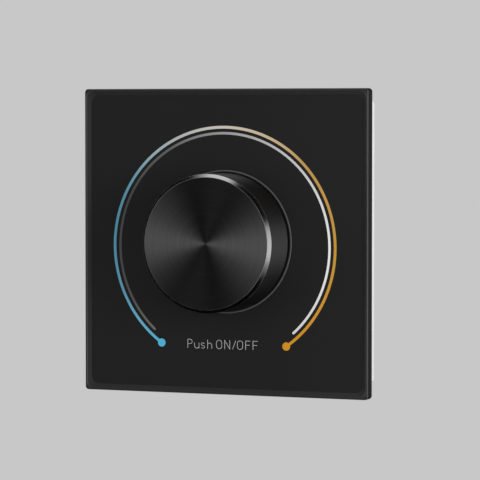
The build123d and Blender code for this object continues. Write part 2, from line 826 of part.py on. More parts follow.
# Knob core: a disc glued under the cap's face, with a ribbed hub bored for the shaft
with BuildPart() as knob_core:
    with BuildSketch(wall.offset(knob_ceiling - core_plate)):
        Circle(knob_inner - core_fit)
    extrude(amount=core_plate)
    with BuildSketch(wall.offset(core_bottom)):
        Circle(core_hub_radius)
    extrude(amount=knob_ceiling - core_bottom)
    with BuildSketch(wall.offset(knob_ceiling - core_plate)):
        rib_length = knob_inner - core_fit - core_hub_radius / 2
        with PolarLocations(core_hub_radius / 2, core_rib_count):
            Rectangle(rib_length, core_rib_thickness, align=(Align.MIN, Align.CENTER))
        Circle(knob_inner - core_fit, mode=Mode.INTERSECT)
    extrude(amount=-core_rib_height)
    core_flat = shaft_flat + clip_thickness + 2 * clip_fit
    with BuildSketch(wall.offset(core_bottom)):
        Circle(shaft_radius + shaft_fit)
        with Locations((core_flat, 0)):
            Rectangle(
                2 * shaft_radius,
                2 * (shaft_radius + shaft_fit),
                align=(Align.MIN, Align.CENTER),
                mode=Mode.SUBTRACT,
            )
    extrude(amount=knob_ceiling - core_bottom, mode=Mode.SUBTRACT)
knob_core.part.label = "knob_core"
export_step(knob_core.part, "parts/knob_core.step")

# Knob clip: a spring leaf between the shaft's flat and the core
with BuildPart() as knob_clip:
    with BuildSketch(wall.offset(core_bottom + clip_end_gap)):
        with Locations((shaft_flat + clip_fit, 0)):
            Rectangle(clip_thickness, clip_width, align=(Align.MIN, Align.CENTER))
    extrude(amount=shaft_tip - core_bottom - 2 * clip_end_gap)
knob_clip.part.label = "knob_clip"
export_step(knob_clip.part, "parts/knob_clip.step")

# Battery holder: a cup over the cell, standing on the board by its flange
with BuildPart() as battery_holder:
    with BuildSketch(battery_plane(holder_bottom)):
        Circle(holder_outer)
    extrude(amount=holder_ceiling + holder_roof - holder_bottom)
    with BuildSketch(battery_plane(board_front)):
        Circle(holder_rim)
    extrude(amount=holder_flange_thickness)
    with BuildSketch(battery_plane(holder_bottom)):
        Circle(holder_inner)
    extrude(amount=holder_ceiling - holder_bottom, mode=Mode.SUBTRACT)
    # notch for the foot of the side contact
    with BuildSketch(battery_plane(board_front)):
        with Locations((holder_inner - holder_gap, 0)):
            Rectangle(
                2 * side_clip_foot_length,
                side_clip_foot_width + 2 * board_hole_gap,
                align=(Align.MIN, Align.CENTER),
            )
    extrude(amount=contact_thickness + board_hole_gap, mode=Mode.SUBTRACT)
battery_holder.part.label = "battery_holder"
export_step(battery_holder.part, "parts/battery_holder.step")

# Coin cell: a stepped steel can with rounded edges
with BuildPart() as coin_cell:
    with BuildSketch(battery_plane(cell_bottom)):
        Circle(cell_radius)
    extrude(amount=cell_thickness)
    fillet(coin_cell.edges().filter_by(GeomType.CIRCLE), radius=cell_edge)
coin_cell.part.label = "coin_cell"
export_step(coin_cell.part, "parts/coin_cell.step")

# Battery spring: a bowed strip between the cell and the holder's roof
with BuildPart() as battery_spring:
    with BuildSketch(Plane(origin=(0, 0, battery_height), x_dir=(1, 0, 0), z_dir=(0, 0, -1))):
        with BuildLine():
            Polyline(
                (-contact_length / 2, cell_top),
                (-contact_length / 4, holder_ceiling - contact_thickness),
                (contact_length / 4, holder_ceiling - contact_thickness),
                (contact_length / 2, cell_top),
                (contact_length / 2, cell_top + contact_thickness),
                (contact_length / 4, holder_ceiling),
                (-contact_length / 4, holder_ceiling),
                (-contact_length / 2, cell_top + contact_thickness),
                close=True,
            )
        make_face()
    extrude(amount=contact_width / 2, both=True)
battery_spring.part.label = "battery_spring"
export_step(battery_spring.part, "parts/battery_spring.step")

# Battery clip: a curved strip against the cell's side with a foot on the board
with BuildPart() as battery_clip:
    clip_inner = cell_radius + side_clip_gap
    with BuildSketch(battery_plane(board_front)):
        with BuildLine():
            outer_arc = CenterArc(
                (0, 0), clip_inner + contact_thickness, -side_clip_angle / 2, side_clip_angle
            )
            inner_arc = CenterArc((0, 0), clip_inner, -side_clip_angle / 2, side_clip_angle)
            Line(outer_arc @ 0, inner_arc @ 0)
            Line(outer_arc @ 1, inner_arc @ 1)
        make_face()
    extrude(amount=-side_clip_height)
    with BuildSketch(battery_plane(board_front)):
        with Locations((clip_inner, 0)):
            Rectangle(
                side_clip_foot_length, side_clip_foot_width, align=(Align.MIN, Align.CENTER)
            )
        Circle(clip_inner, mode=Mode.SUBTRACT)
    extrude(amount=contact_thickness)
battery_clip.part.label = "battery_clip"
export_step(battery_clip.part, "parts/battery_clip.step")

# Battery door: a round plug with lugs behind the floor and a coin slot in its back
with BuildPart() as battery_door:
    with BuildSketch(battery_plane(floor_bottom)):
        Circle(door_flange)
    extrude(amount=door_flange_thickness)
    with BuildSketch(battery_plane(floor_bottom)):
        Circle(door_plug)
    extrude(amount=lug_bottom - floor_bottom)
    with BuildSketch(battery_plane(lug_bottom)):
        with PolarLocations(door_plug, lug_count, start_angle=90):
            Rectangle(2 * lug_reach, lug_width)
        Circle(lug_radius, mode=Mode.INTERSECT)
        Circle(door_plug)
        Circle(door_rim_inner, mode=Mode.SUBTRACT)
    extrude(amount=lug_thickness)
    with BuildSketch(battery_plane(floor_bottom)):
        SlotOverall(coin_slot_length, coin_slot_width)
    extrude(amount=coin_slot_depth, mode=Mode.SUBTRACT)
battery_door.part.label = "battery_door"
export_step(battery_door.part, "parts/battery_door.step")
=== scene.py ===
import math

import bmesh
import bpy
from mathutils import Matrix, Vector


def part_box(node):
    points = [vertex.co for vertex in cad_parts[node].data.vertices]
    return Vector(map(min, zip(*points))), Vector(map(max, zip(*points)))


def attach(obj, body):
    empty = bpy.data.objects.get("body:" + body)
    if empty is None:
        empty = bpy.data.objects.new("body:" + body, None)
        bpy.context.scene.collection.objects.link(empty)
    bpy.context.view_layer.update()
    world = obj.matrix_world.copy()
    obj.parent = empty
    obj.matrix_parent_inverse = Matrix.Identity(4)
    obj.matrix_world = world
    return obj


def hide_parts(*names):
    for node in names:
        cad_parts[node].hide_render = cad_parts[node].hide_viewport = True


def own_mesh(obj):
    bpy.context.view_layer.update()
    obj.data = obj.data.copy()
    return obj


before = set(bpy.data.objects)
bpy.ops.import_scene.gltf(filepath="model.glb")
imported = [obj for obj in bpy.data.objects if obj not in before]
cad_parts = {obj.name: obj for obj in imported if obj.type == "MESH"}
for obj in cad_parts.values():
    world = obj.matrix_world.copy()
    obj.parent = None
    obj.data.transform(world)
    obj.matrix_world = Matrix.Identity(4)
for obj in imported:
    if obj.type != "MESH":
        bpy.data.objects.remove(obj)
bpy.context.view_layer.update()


# Wall plate: one injection moulding in pale plastic, screwed to the wall through its two slots.
# Its hooks and snap tongues hold the housing. The mould was spark eroded, which leaves a fine
# grain on every face.
def shader_node(tree, kind, **values):
    """A new shader node: names with a capital set its sockets, other names its settings."""
    made = tree.nodes.new("ShaderNode" + kind)
    for key, value in values.items():
        if key[0].isupper():
            made.inputs[key.replace("_", " ")].default_value = value
        else:
            setattr(made, key, value)
    return made


def new_finish(name):
    """A new material with its node tree, its shader and the place on the object."""
    made = bpy.data.materials.new(name)
    made.use_nodes = True
    tree = made.node_tree
    place = shader_node(tree, "TexCoord").outputs["Object"]
    return made, tree, tree.nodes["Principled BSDF"], place


def two_shades(tree, pattern, dark, light):
    """Colour that runs from dark to light as the pattern goes from its low to its high values."""
    low, high = 0.3, 0.7
    ramp = shader_node(tree, "ValToRGB")
    for stop, at, colour in zip(ramp.color_ramp.elements, (low, high), (dark, light)):
        stop.position = at
        stop.color = (*colour, 1.0)
    tree.links.new(pattern, ramp.inputs["Fac"])
    return ramp.outputs["Color"]


def eroded_moulding(name, colour, gloss=(0.42, 0.6), grain=0.00025, depth=0.00001, lustre=0.5):
    """Moulded plastic with the grain of a spark eroded mould and a slight cloudiness."""
    made, tree, shader, place = new_finish(name)
    link = tree.links.new
    grains = shader_node(tree, "TexNoise", Scale=1.0 / grain, Detail=2.0, Roughness=0.6)
    clouds = shader_node(tree, "TexNoise", Scale=70.0, Detail=3.0)
    shine = shader_node(tree, "MapRange", To_Min=gloss[0], To_Max=gloss[1])
    dents = shader_node(tree, "Bump", Strength=0.6, Distance=depth)
    link(place, grains.inputs["Vector"])
    link(place, clouds.inputs["Vector"])
    link(grains.outputs["Fac"], shine.inputs["Value"])
    link(grains.outputs["Fac"], dents.inputs["Height"])
    cloud_shades = (0.975, 1.015)
    dark, light = ([c * k for c in colour] for k in cloud_shades)
    link(two_shades(tree, clouds.outputs["Fac"], dark, light), shader.inputs["Base Color"])
    link(shine.outputs["Result"], shader.inputs["Roughness"])
    link(dents.outputs["Normal"], shader.inputs["Normal"])
    shader.inputs["Specular IOR Level"].default_value = lustre
    return made


def dress(finish, *names):
    """Gives CAD nodes a finish in place of the plain one that they were packed with."""
    for name in names:
        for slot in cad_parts[name].material_slots:
            slot.material = finish


dress(eroded_moulding("plate_moulding", (0.62, 0.62, 0.605), grain=0.0004), "wall_plate")


# Battery door: a round plug in the same pale plastic, turned with a coin through the plate's
# window. It is handled, so its face is a little smoother than the plate.
dress(eroded_moulding("door_moulding", (0.66, 0.66, 0.65), gloss=(0.32, 0.45)), "battery_door")


# Rear housing: a shallow square tray in white plastic with a fine satin grain, seen as a narrow
# pale strip behind the glass. It hangs on the plate and carries everything else.
dress(eroded_moulding("housing_moulding", (0.79, 0.79, 0.785), gloss=(0.4, 0.52)), "rear_housing")


# Circuit board: glass fibre laminate with copper tracks under a green mask. It lies on the
# housing's posts, and the radio module, the controller and the capacitors are soldered to it.
mask, tree, shader, place = new_finish("solder_mask")
tracks = shader_node(tree, "TexBrick", Scale=160.0, offset=0.35, Mortar_Size=0.06, Brick_Width=0.9)
weave = shader_node(tree, "TexNoise", Scale=900.0, Detail=2.0)
lie = shader_node(tree, "Mapping", Rotation=(math.radians(90), 0.0, 0.0))
relief = shader_node(tree, "Bump", Strength=0.5, Distance=0.00004)
for socket, colour in (("Color1", (0.012, 0.11, 0.045)), ("Color2", (0.016, 0.13, 0.055)),
                       ("Mortar", (0.03, 0.21, 0.085))):
    tracks.inputs[socket].default_value = (*colour, 1.0)
tree.links.new(place, lie.inputs["Vector"])
tree.links.new(lie.outputs["Vector"], tracks.inputs["Vector"])
tree.links.new(place, weave.inputs["Vector"])
tree.links.new(tracks.outputs["Color"], shader.inputs["Base Color"])
tree.links.new(weave.outputs["Fac"], relief.inputs["Height"])
tree.links.new(relief.outputs["Normal"], shader.inputs["Normal"])
shader.inputs["Roughness"].default_value = 0.32
dress(mask, "circuit_board")


def rolled_metal(name, colour, rough=(0.22, 0.36), along=(1.0, 1.0, 14.0)):
    """Rolled or plated metal, with fine lines along one direction and faint stains."""
    made, tree, shader, place = new_finish(name)
    link = tree.links.new
    stretch = shader_node(tree, "Mapping", Scale=along)
    lines = shader_node(tree, "TexNoise", Scale=420.0, Detail=4.0, Roughness=0.65)
    shine = shader_node(tree, "MapRange", To_Min=rough[0], To_Max=rough[1])
    scored = shader_node(tree, "Bump", Strength=0.25, Distance=0.000006)
    link(place, stretch.inputs["Vector"])
    link(stretch.outputs["Vector"], lines.inputs["Vector"])
    link(lines.outputs["Fac"], shine.inputs["Value"])
    link(lines.outputs["Fac"], scored.inputs["Height"])
    line_shades = (0.88, 1.0)
    dark, light = ([c * k for c in colour] for k in line_shades)
    link(two_shades(tree, lines.outputs["Fac"], dark, light), shader.inputs["Base Color"])
    link(shine.outputs["Result"], shader.inputs["Roughness"])
    link(scored.outputs["Normal"], shader.inputs["Normal"])
    shader.inputs["Metallic"].default_value = 1.0
    return made


dress(rolled_metal("tinned_can", (0.72, 0.72, 0.7), rough=(0.3, 0.45)), "radio_module")
dress(eroded_moulding("chip_epoxy", (0.022, 0.022, 0.024), gloss=(0.5, 0.65)), "controller_chip")
dress(eroded_moulding("fired_ceramic", (0.5, 0.38, 0.24), gloss=(0.35, 0.5)), "board_capacitors")


# Battery: a plated steel coin cell in a black moulded cup. A bowed strip touches its inner face
# and a curved clip its side, both of thin spring steel.
spring_steel = rolled_metal("spring_steel", (0.6, 0.6, 0.6))
dress(rolled_metal("cell_plating", (0.74, 0.74, 0.72), rough=(0.16, 0.3)), "coin_cell")
dress(eroded_moulding("holder_moulding", (0.02, 0.02, 0.021)), "battery_holder")
dress(spring_steel, "battery_spring", "battery_clip")


# Encoder: a moulded base with rotor, plunger and dome inside, a cast bushing on top and a folded
# strap round both. Its barrel passes through the front cover and is held by a washer and a nut.
dress(eroded_moulding("encoder_moulding", (0.018, 0.018, 0.02), gloss=(0.35, 0.5)), "encoder_base",
      "encoder_rotor", "switch_plunger")
dress(rolled_metal("cast_zinc", (0.52, 0.52, 0.53), rough=(0.35, 0.5), along=(1.0, 1.0, 1.0)),
      "encoder_bushing")
dress(spring_steel, "encoder_clamp", "detent_spring")
dress(rolled_metal("nickel_plating", (0.66, 0.62, 0.5)), "encoder_pins", "encoder_washer",
      "encoder_nut")


# Switch dome: a cap pressed from thin spring steel, under the encoder's plunger. It snaps nearly
# flat when the knob is pushed in.
def finished_piece(name, mesh, crease=28):
    """Turns a worked mesh into a piece in the scene, with edges above the crease angle sharp."""
    bmesh.ops.recalc_face_normals(mesh, faces=mesh.faces)
    data = bpy.data.meshes.new(name)
    mesh.to_mesh(data)
    mesh.free()
    data.shade_smooth()
    data.set_sharp_from_angle(angle=math.radians(crease))
    piece = bpy.data.objects.new(name, data)
    bpy.context.scene.collection.objects.link(piece)
    return piece


on_axis = 1e-7


def turned(name, outline, sides):
    """A closed lathe turning from (radius, height in front of the wall) pairs, in metres."""
    mesh = bmesh.new()
    turns = [2 * math.pi * i / sides for i in range(sides)]
    rings = []
    for radius, height in outline:
        if radius < on_axis:
            rings.append([mesh.verts.new((0.0, -height, 0.0))] * sides)
        else:
            rings.append([
                mesh.verts.new((radius * math.cos(t), -height, radius * math.sin(t))) for t in turns
            ])
    closed = rings if outline[0][0] < on_axis else rings + rings[:1]
    for here, there in zip(closed, closed[1:]):
        for i in range(sides):
            j = (i + 1) % sides
            corners = list(dict.fromkeys((here[i], here[j], there[j], there[i])))
            if len(corners) > 2:
                mesh.faces.new(corners)
    return finished_piece(name, mesh)


low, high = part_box("switch_dome")
dome_radius, dome_foot, dome_top = high.x, -high.y, -low.y
dome_sheet, dome_travel, dome_steps, dome_sides = 0.00015, 0.0005, 10, 48
dome_rise = dome_top - dome_foot
dome_ball = (dome_radius ** 2 + dome_rise ** 2) / (2 * dome_rise)
dome_section = []
outward, inward = range(dome_steps + 1), range(dome_steps, -1, -1)
for ball, order in ((dome_ball - dome_sheet, outward), (dome_ball, inward)):
    rim_turn = math.acos((dome_foot - dome_top + dome_ball) / ball)
    for k in order:
        t = rim_turn * k / dome_steps
        dome_section.append((ball * math.sin(t), dome_top - dome_ball + ball * math.cos(t)))
dome = turned("dome_pressing", dome_section, dome_sides)
dome.data.materials.append(spring_steel)
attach(dome, "panel")
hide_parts("switch_dome")
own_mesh(dome)


# Front cover: a black moulding that closes the housing and rises as a turret in the hole of the
# glass. Four zinc plated screws draw it to the housing from behind.
dress(eroded_moulding("cover_moulding", (0.026, 0.026, 0.0263), gloss=(0.5, 0.65)), "front_cover")
dress(rolled_metal("zinc_plating", (0.56, 0.57, 0.58), rough=(0.25, 0.4)), "case_screws")


# Glass: a flat plate with a satin etched front, black behind it, on a thin black adhesive sheet.
# The etching leaves a very fine grain, so the face shows soft light and no mirror image.
dress(eroded_moulding("adhesive_foam", (0.012, 0.012, 0.012), gloss=(0.75, 0.9), grain=0.0006,
                      depth=0.00006), "glass_adhesive")
glass, tree, shader, place = new_finish("satin_glass")
etching = shader_node(tree, "TexNoise", Scale=9000.0, Detail=2.0)
haze = shader_node(tree, "TexNoise", Scale=24.0, Detail=4.0, Roughness=0.6)
shine = shader_node(tree, "MapRange", From_Min=0.3, From_Max=0.7, To_Min=0.4, To_Max=0.46)
grain = shader_node(tree, "Bump", Strength=0.2, Distance=0.000002)
for pattern in (etching, haze):
    tree.links.new(place, pattern.inputs["Vector"])
tree.links.new(haze.outputs["Fac"], shine.inputs["Value"])
tree.links.new(etching.outputs["Fac"], grain.inputs["Height"])
glass_dark, glass_light = (0.0142, 0.0142, 0.0144), (0.0148, 0.0148, 0.015)
glass_shade = two_shades(tree, haze.outputs["Fac"], glass_dark, glass_light)
tree.links.new(glass_shade, shader.inputs["Base Color"])
tree.links.new(shine.outputs["Result"], shader.inputs["Roughness"])
tree.links.new(grain.outputs["Normal"], shader.inputs["Normal"])
dress(glass, "glass_panel")


# Frame: a black moulding round the glass, with a bevelled rim that stands proud of it and an inside
# that slopes down and just laps the edge of the glass. A ledge behind the glass holds it. The
# moulded edges are eased and catch the light. The slope is coloured a lighter black as painted
# light, and the bevel and the inner break a lighter black still as painted highlights, beside
# their real smoother gloss.
def eased(outline, radius, steps=5):
    """A section outline with each corner rounded, apart from places on the knob's axis."""
    longest_share, flat_share = 0.35, 1.25
    out = []
    for i, corner in enumerate(outline):
        here = Vector(corner)
        if here[0] < on_axis:
            out.append(here)
            continue
        ways = [Vector(outline[j]) - here for j in (i - 1, (i + 1) % len(outline))]
        runs = [Vector(way[:2]).length for way in ways]
        half = Vector(ways[0][:2]).angle(Vector(ways[1][:2])) / 2
        reach = min(radius / math.tan(half), longest_share * runs[0], longest_share * runs[1])
        start, end = (here + way * (reach / run) for way, run in zip(ways, runs))
        # a place just outside the rounding keeps the flats beside it flat
        out.append(here + ways[0] * (flat_share * reach / runs[0]))
        for k in range(steps + 1):
            t = k / steps
            out.append(start * (1 - t) ** 2 + here * 2 * t * (1 - t) + end * t ** 2)
        out.append(here + ways[1] * (flat_share * reach / runs[1]))
    return out


low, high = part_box("glass_panel")
glass_front, glass_back, glass_half = -low.y, -high.y, high.x
low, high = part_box("glass_frame")
frame_front, frame_back, frame_half = -low.y, -high.y, high.x
bevel, back_break, crest = 0.00028, 0.0002, 0.00022
inner_break, inner_drop, slope_lap, lap_sheet = 0.0002, 0.000115, 0.0003, 0.00002
pocket_gap, ledge_half = 0.00005, 0.03975
pocket_half, lap_half = glass_half + pocket_gap, glass_half + pocket_gap - slope_lap
crest_half = frame_half - bevel - crest
# corner radii of the section's places in plan, from the back round the outside to the pocket
ledge_corner, back_corner, side_corner, front_corner = 0.00135, 0.0008, 0.001, 0.0006
crest_corner, break_corner, pocket_corner = 0.0012, 0.0022, 0.0023
rim_rounding, corner_steps = 0.00012, 12
section = eased([
    (ledge_half, frame_back, ledge_corner),
    (frame_half - back_break, frame_back, back_corner),
    (frame_half, frame_back + back_break, side_corner),
    (frame_half, frame_front - bevel, side_corner),
    (frame_half - bevel, frame_front, front_corner),
    (crest_half, frame_front, crest_corner),
    (crest_half - inner_break, frame_front - inner_drop, break_corner),
    (lap_half, glass_front + lap_sheet, pocket_corner),
    (lap_half, glass_front, pocket_corner),
    (pocket_half, glass_front, pocket_corner),
    (pocket_half, glass_back, pocket_corner),
    (ledge_half, glass_back, ledge_corner),
], rim_rounding)
mesh = bmesh.new()
loops = []
for half, height, corner in section:
    loop = []
    for quarter, (sx, sz) in enumerate(((1, 1), (-1, 1), (-1, -1), (1, -1))):
        for k in range(corner_steps + 1):
            t = math.radians(90 * (quarter + k / corner_steps))
            loop.append(mesh.verts.new((
                sx * (half - corner) + corner * math.cos(t),
                -height,
                sz * (half - corner) + corner * math.sin(t),
            )))
    loops.append(loop)
for here, there in zip(loops, loops[1:] + loops[:1]):
    for i in range(len(here)):
        j = (i + 1) % len(here)
        mesh.faces.new((here[i], here[j], there[j], there[i]))
rim = finished_piece("frame_moulding", mesh)
rim_grain, moulded_depth, polished_depth = 0.0002, 0.000004, 0.000002
moulded_gloss, painted_highlight_black = (0.45, 0.55), (0.038, 0.038, 0.0384)
# the slope's lighter black is painted light; the lighter black of the bevel and the inner break is a
# painted highlight, and their smoother gloss is real
for finish in (
    eroded_moulding("frame_black", (0.022, 0.022, 0.0223), gloss=moulded_gloss, grain=rim_grain,
                    depth=moulded_depth, lustre=0.3),
    eroded_moulding("frame_bevel_painted_highlight", painted_highlight_black, gloss=(0.26, 0.34), grain=rim_grain,
                    depth=polished_depth),
    eroded_moulding("frame_slope_painted_light", (0.029, 0.029, 0.0293), gloss=moulded_gloss, grain=rim_grain,
                    depth=moulded_depth, lustre=0.12),
    eroded_moulding("frame_inner_break_painted_highlight", painted_highlight_black, gloss=(0.24, 0.3), grain=rim_grain,
                    depth=polished_depth, lustre=1.0),
):
    rim.data.materials.append(finish)
bevel_highlight_finish, slope_painted_light_finish, break_highlight_finish = 1, 2, 3
crest_depth = 0.1 * inner_drop
# slope faces get the painted light, and bevel and inner break faces the painted highlights
for face in rim.data.polygons:
    out, height = max(abs(face.center.x), abs(face.center.z)), -face.center.y
    if height < glass_front or height < frame_front - bevel and out > frame_half - bevel:
        continue
    if out > frame_half - bevel:
        face.material_index = bevel_highlight_finish
    elif height < frame_front - inner_drop:
        face.material_index = slope_painted_light_finish
    elif height < frame_front - crest_depth:
        face.material_index = break_highlight_finish
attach(rim, "panel")
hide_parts("glass_frame")


# Hole ring: a thin turned ring in dark anodised aluminium that stands on the cover and lines the
# glass. Its front edges are broken, and they catch the light as a fine bright line.
def sum_of(tree, operation, *terms):
    """A sum on numbers and sockets, and its result."""
    made = shader_node(tree, "Math", operation=operation)
    for socket, term in zip(made.inputs, terms):
        if isinstance(term, bpy.types.NodeSocket):
            tree.links.new(term, socket)
        else:
            socket.default_value = term
    return made.outputs["Value"]


def spun_anodised(name, colour, rough, spread, line_pitch=0.00009):
    """Black anodised aluminium, spun so that fine lines run round the knob's axis."""
    broad_share, ripple_share, ripple_depth = 0.2, 0.085, 0.6
    even_radius, shade_rise, line_shades = 0.0097, 20.0, (0.9, 1.05)
    quarter_turn = 0.25
    made, tree, shader, place = new_finish(name)
    link = tree.links.new
    axes = shader_node(tree, "SeparateXYZ")
    link(place, axes.inputs["Vector"])
    x, y, z = (axes.outputs[axis] for axis in "XYZ")
    radius = sum_of(tree, "SQRT", sum_of(tree, "ADD", sum_of(tree, "MULTIPLY", x, x),
                                         sum_of(tree, "MULTIPLY", z, z)))
    across = sum_of(tree, "ADD", radius, y)
    fine = shader_node(tree, "TexNoise", noise_dimensions="1D", Scale=1.0 / line_pitch, Detail=2.0)
    broad = shader_node(tree, "TexNoise", noise_dimensions="1D", Scale=broad_share / line_pitch,
                        Detail=2.0)
    link(across, fine.inputs["W"])
    link(across, broad.inputs["W"])
    shine = shader_node(tree, "MapRange", From_Min=0.25, From_Max=0.75, To_Min=rough[0], To_Max=rough[1])
    link(broad.outputs["Fac"], shine.inputs["Value"])
    scored = shader_node(tree, "Bump", Strength=0.15, Distance=0.000004)
    link(fine.outputs["Fac"], scored.inputs["Height"])
    round_axis = shader_node(tree, "Tangent", direction_type="RADIAL", axis="Y")
    # painted shade: the colour is darker towards the axis and lighter towards the rim
    painted_shade_outwards = sum_of(tree, "MULTIPLY", sum_of(tree, "SUBTRACT", radius, even_radius), shade_rise)
    shade = sum_of(tree, "ADD", broad.outputs["Fac"], painted_shade_outwards)
    # the tool's feed leaves soft ripples a few lines wide
    ripples = shader_node(tree, "TexNoise", noise_dimensions="1D", Scale=ripple_share / line_pitch,
                          Detail=1.0)
    link(across, ripples.inputs["W"])
    rise = sum_of(tree, "SUBTRACT", ripples.outputs["Fac"], 0.5)
    shade = sum_of(tree, "ADD", shade, sum_of(tree, "MULTIPLY", rise, ripple_depth))
    dark, light = ([c * k for c in colour] for k in line_shades)
    link(two_shades(tree, shade, dark, light), shader.inputs["Base Color"])
    link(shine.outputs["Result"], shader.inputs["Roughness"])
    link(scored.outputs["Normal"], shader.inputs["Normal"])
    link(round_axis.outputs["Tangent"], shader.inputs["Tangent"])
    shader.inputs["Metallic"].default_value = 1.0
    shader.inputs["Anisotropic"].default_value = spread
    shader.inputs["Anisotropic Rotation"].default_value = quarter_turn
    return made


low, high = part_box("hole_ring")
ring_outer, ring_front, ring_back = high.x, -low.y, -high.y
ring_wall, ring_break, ring_rounding, ring_sides = 0.0005, 0.00012, 0.00004, 192
ring_inner = ring_outer - ring_wall
ring = turned("ring_turning", eased([
    (ring_inner, ring_back),
    (ring_outer, ring_back),
    (ring_outer, ring_front - ring_break),
    (ring_outer - ring_break, ring_front),
    (ring_inner + ring_break, ring_front),
    (ring_inner, ring_front - ring_break),
], ring_rounding), ring_sides)
ring_finish = eroded_moulding("ring_blasting", (0.09, 0.09, 0.091), gloss=(0.4, 0.55), grain=0.0001)
ring.data.materials.append(ring_finish)
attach(ring, "panel")
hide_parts("hole_ring")


# Dial print: two fine arcs of ink on the glass round the knob. The outer one runs from a cool to
# a warm shade and ends in round dots, and the inner one from dim to bright.
ink_lift, layer_step, ink_roughness = 0.00002, 0.000002, 0.4
dial_middle = Vector((-0.00038, -glass_front, -0.00132))


def shade_of(red, green, blue):
    """A colour as mixed on a screen, turned into the light that it gives back."""
    return [((c / 255 + 0.055) / 1.055) ** 2.4 for c in (red, green, blue)]


def dial_place(radius, turn):
    """A place on the dial: the turn is in degrees, clockwise from straight down."""
    t = math.radians(turn)
    return Vector((-radius * math.sin(t), 0.0, -radius * math.cos(t)))


def printed(name, middle, strokes, ink, height=ink_lift):
    """Thin closed layers of ink, each between pairs of places along its two edges."""
    mesh = bmesh.new()
    for count, pairs in enumerate(strokes):
        # ink that crosses earlier ink lies a little higher
        out = Vector((0.0, -height - layer_step * count, 0.0))
        endless = pairs[0] == pairs[-1]
        rows = []
        for a, b in pairs[:-1] if endless else pairs:
            a, b = middle + a, middle + b
            rows.append([mesh.verts.new(p) for p in (a, b, b + out, a + out)])
        for here, there in zip(rows, rows[1:] + (rows[:1] if endless else [])):
            for i in range(len(here)):
                j = (i + 1) % len(here)
                mesh.faces.new((here[i], here[j], there[j], there[i]))
        if not endless:
            mesh.faces.new(rows[0])
            mesh.faces.new(rows[-1])
    piece = finished_piece(name, mesh)
    piece.data.materials.append(ink)
    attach(piece, "panel")


def arc_edges(radius, width, first, last, steps):
    """Pairs of places along an arc's two edges, with round ends."""
    cap_turns = (25, 50, 70, 85)
    cap = math.degrees(width / 2 / radius)
    turns = [(first + (last - first) * i / steps, 1.0) for i in range(steps + 1)]
    ends = [(math.sin(a), math.cos(a)) for a in map(math.radians, cap_turns)]
    turns = [(first - cap * s, c) for s, c in reversed(ends)] + turns
    turns += [(last + cap * s, c) for s, c in ends]
    return [
        (dial_place(radius - width * k / 2, turn), dial_place(radius + width * k / 2, turn))
        for turn, k in turns
    ]


def dial_ink(name, stops):
    """Satin ink whose shade follows the turn round the dial."""
    made, tree, shader, place = new_finish(name)
    axes = shader_node(tree, "SeparateXYZ")
    tree.links.new(place, axes.inputs["Vector"])
    turn = sum_of(tree, "ARCTAN2", sum_of(tree, "SUBTRACT", axes.outputs["X"], dial_middle.x),
                  sum_of(tree, "SUBTRACT", axes.outputs["Z"], dial_middle.z))
    share = shader_node(tree, "MapRange", From_Min=-math.pi, From_Max=math.pi)
    ramp = shader_node(tree, "ValToRGB")
    points = ramp.color_ramp.elements
    while len(points) < len(stops):
        points.new(0.5)
    for point, (at, colour) in zip(points, stops):
        point.position = at / 360
        point.color = (*shade_of(*colour), 1.0)
    tree.links.new(turn, share.inputs["Value"])
    tree.links.new(share.outputs["Result"], ramp.inputs["Fac"])
    tree.links.new(ramp.outputs["Color"], shader.inputs["Base Color"])
    shader.inputs["Roughness"].default_value = ink_roughness
    return made


outer_radius, outer_width, outer_steps = 0.03349, 0.0008, 220
inner_radius, inner_width, inner_steps = 0.03182, 0.00069, 210
dot_turn, inner_turn = 34.5, 41.6
dot_radius, dot_steps, dot_lift = 0.00116, 32, 1.5 * ink_lift
cool, warm = (84, 194, 234), (222, 150, 8)
# each stop is a turn round the dial in degrees and the shade there
warmth_ink = dial_ink("dial_warmth_ink", [
    (36, cool), (50, (112, 196, 226)), (72, (102, 180, 212)), (95, (88, 168, 200)),
    (122, (106, 172, 194)), (152, (186, 193, 195)), (178, (214, 208, 198)), (200, (212, 194, 160)),
    (226, (200, 156, 82)), (275, (206, 154, 50)), (320, warm),
])
brightness_ink = dial_ink("dial_brightness_ink", [
    (41, (120, 116, 112)), (62, (104, 100, 98)), (80, (86, 88, 87)), (120, (82, 84, 83)),
    (150, (104, 105, 105)), (185, (172, 172, 172)), (230, (212, 213, 212)), (270, (244, 244, 242)),
    (319, (226, 226, 228)),
])
outer_arc = arc_edges(outer_radius, outer_width, dot_turn, 360 - dot_turn, outer_steps)
inner_arc = arc_edges(inner_radius, inner_width, inner_turn, 360 - inner_turn, inner_steps)
printed("dial_warmth_arc", dial_middle, [outer_arc], warmth_ink)
printed("dial_brightness_arc", dial_middle, [inner_arc], brightness_ink)
for name, turn in (("dial_cool_dot", dot_turn), ("dial_warm_dot", 360 - dot_turn)):
    middle = dial_place(outer_radius, turn)
    edges = []
    for i in range(dot_steps):
        t = math.pi * (i + 0.5) / dot_steps
        along, half = dot_radius * math.cos(t), dot_radius * math.sin(t)
        edges.append((middle + Vector((along, 0.0, -half)), middle + Vector((along, 0.0, half))))
    printed(name, dial_middle, [edges], warmth_ink, height=dot_lift)


# Operating legend: plain thin letters in pale ink under the knob, drawn with one pen width and
# printed like the dial. Sizes and places of the letters are in millimetres from the legend's left
# end and its foot line.
legend_start = Vector((-0.01146, -glass_front, -0.03022))
pen, capital, small = 0.1, 2.54, 1.62
foot, cap_line, small_line = pen / 2, capital - pen / 2, small - pen / 2


def bow(x, z, across, up, first, last, steps=10):
    """Places along a bow, in degrees anticlockwise from the right."""
    turns = [math.radians(first + (last - first) * i / steps) for i in range(steps + 1)]
    return [(x + across * math.cos(t), z + up * math.sin(t)) for t in turns]


